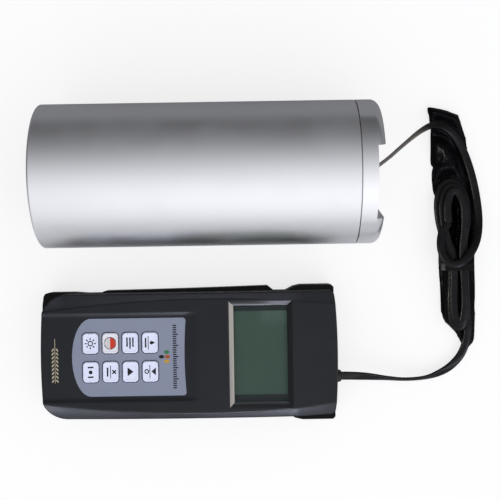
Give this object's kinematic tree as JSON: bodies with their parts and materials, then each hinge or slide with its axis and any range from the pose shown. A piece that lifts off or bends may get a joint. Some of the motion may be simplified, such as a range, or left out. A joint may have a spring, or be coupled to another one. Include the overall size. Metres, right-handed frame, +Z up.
{
  "type": "grain moisture meter",
  "caption": "Hand-held grain moisture meter with keypad and display, wired by a gathered lead to a cylindrical aluminium sample cup lying on its side.",
  "frame": {"origin": "centre of the meter's back face, which rests on the ground", "axes": "+X along the meter from its keypad end to its display end, +Y from the meter to the cup, +Z up"},
  "size_m": [0.2485, 0.1751, 0.076],
  "materials": {
    "front_housing": "fine satin texture",
    "rear_housing": "fine matt texture",
    "overlay": "satin printed film",
    "keys": "satin, printed with pictograms",
    "window": "clear, gloss",
    "display": "grey-green liquid crystal",
    "backlight": "white, translucent",
    "circuit_board": "solder resist",
    "dome_film": "clear film",
    "steel": "zinc plated",
    "electrode": "turned, satin",
    "cell": null,
    "rubber": "matt",
    "lead": "smooth jacket, low sheen",
    "tie": "moulded nylon",
    "pouch": "glossy film, creased",
    "cup_aluminium": "satin anodised, turned",
    "foot_aluminium": "satin anodised, turned, polished edge",
    "insulator": "machined black nylon"
  },
  "bodies": {
    "meter": {"front_shell": "front_housing", "rear_shell": "rear_housing", "display_window": "window", "display_glass": "display", "backlight_panel": "backlight", "main_board": "circuit_board", "key_dome_sheet": "dome_film", "keypad_overlay": "overlay", "case_screw_1": "steel", "case_screw_2": "steel", "case_screw_3": "steel", "case_screw_4": "steel", "board_screw_1": "steel", "board_screw_2": "steel", "board_screw_3": "steel", "board_screw_4": "steel", "battery_1": "cell", "battery_2": "cell", "battery_3": "cell", "battery_4": "cell", "battery_contact_left": "steel", "battery_contact_right": "steel", "meter_gland": "rubber", "sensor_lead": "lead", "lead_tie": "tie", "lead_pouch": "pouch"},
    "key_light": {"key_light": "keys"},
    "key_power": {"key_power": "keys"},
    "key_read": {"key_read": "keys"},
    "key_measure": {"key_measure": "keys"},
    "key_select": {"key_select": "keys"},
    "key_delete": {"key_delete": "keys"},
    "key_up": {"key_up": "keys"},
    "key_zero_down": {"key_zero_down": "keys"},
    "battery_cover": {"battery_cover": "rear_housing"},
    "cup": {"cup_tube": "cup_aluminium", "cup_foot": "foot_aluminium", "cup_gland": "rubber", "chamber_floor": "insulator", "floor_gasket": "rubber", "floor_ring": "foot_aluminium", "centre_electrode": "electrode", "electrode_nut": "steel", "temperature_sensor": "steel", "sensor_board": "circuit_board", "sensor_board_screw_1": "steel", "sensor_board_screw_2": "steel", "sensor_board_screw_3": "steel"}
  },
  "joints": [
    {"name": "key_light_press", "type": "slide", "parent": "meter", "child": "key_light", "axis": [0, 0, -1], "range_m": [0, 0.0005], "stiffness_N_per_m": 100},
    {"name": "key_power_press", "type": "slide", "parent": "meter", "child": "key_power", "axis": [0, 0, -1], "range_m": [0, 0.0005], "stiffness_N_per_m": 100},
    {"name": "key_read_press", "type": "slide", "parent": "meter", "child": "key_read", "axis": [0, 0, -1], "range_m": [0, 0.0005], "stiffness_N_per_m": 100},
    {"name": "key_measure_press", "type": "slide", "parent": "meter", "child": "key_measure", "axis": [0, 0, -1], "range_m": [0, 0.0005], "stiffness_N_per_m": 100},
    {"name": "key_select_press", "type": "slide", "parent": "meter", "child": "key_select", "axis": [0, 0, -1], "range_m": [0, 0.0005], "stiffness_N_per_m": 100},
    {"name": "key_delete_press", "type": "slide", "parent": "meter", "child": "key_delete", "axis": [0, 0, -1], "range_m": [0, 0.0005], "stiffness_N_per_m": 100},
    {"name": "key_up_press", "type": "slide", "parent": "meter", "child": "key_up", "axis": [0, 0, -1], "range_m": [0, 0.0005], "stiffness_N_per_m": 100},
    {"name": "key_zero_down_press", "type": "slide", "parent": "meter", "child": "key_zero_down", "axis": [0, 0, -1], "range_m": [0, 0.0005], "stiffness_N_per_m": 100},
    {"name": "battery_cover_slide", "type": "slide", "parent": "meter", "child": "battery_cover", "axis": [-1, 0, 0], "range_m": [0, 0.054]},
    {"name": "cup_lift", "type": "slide", "parent": "meter", "child": "cup", "axis": [0, 0, 1], "range_m": [0, 0.04]}
  ]
}
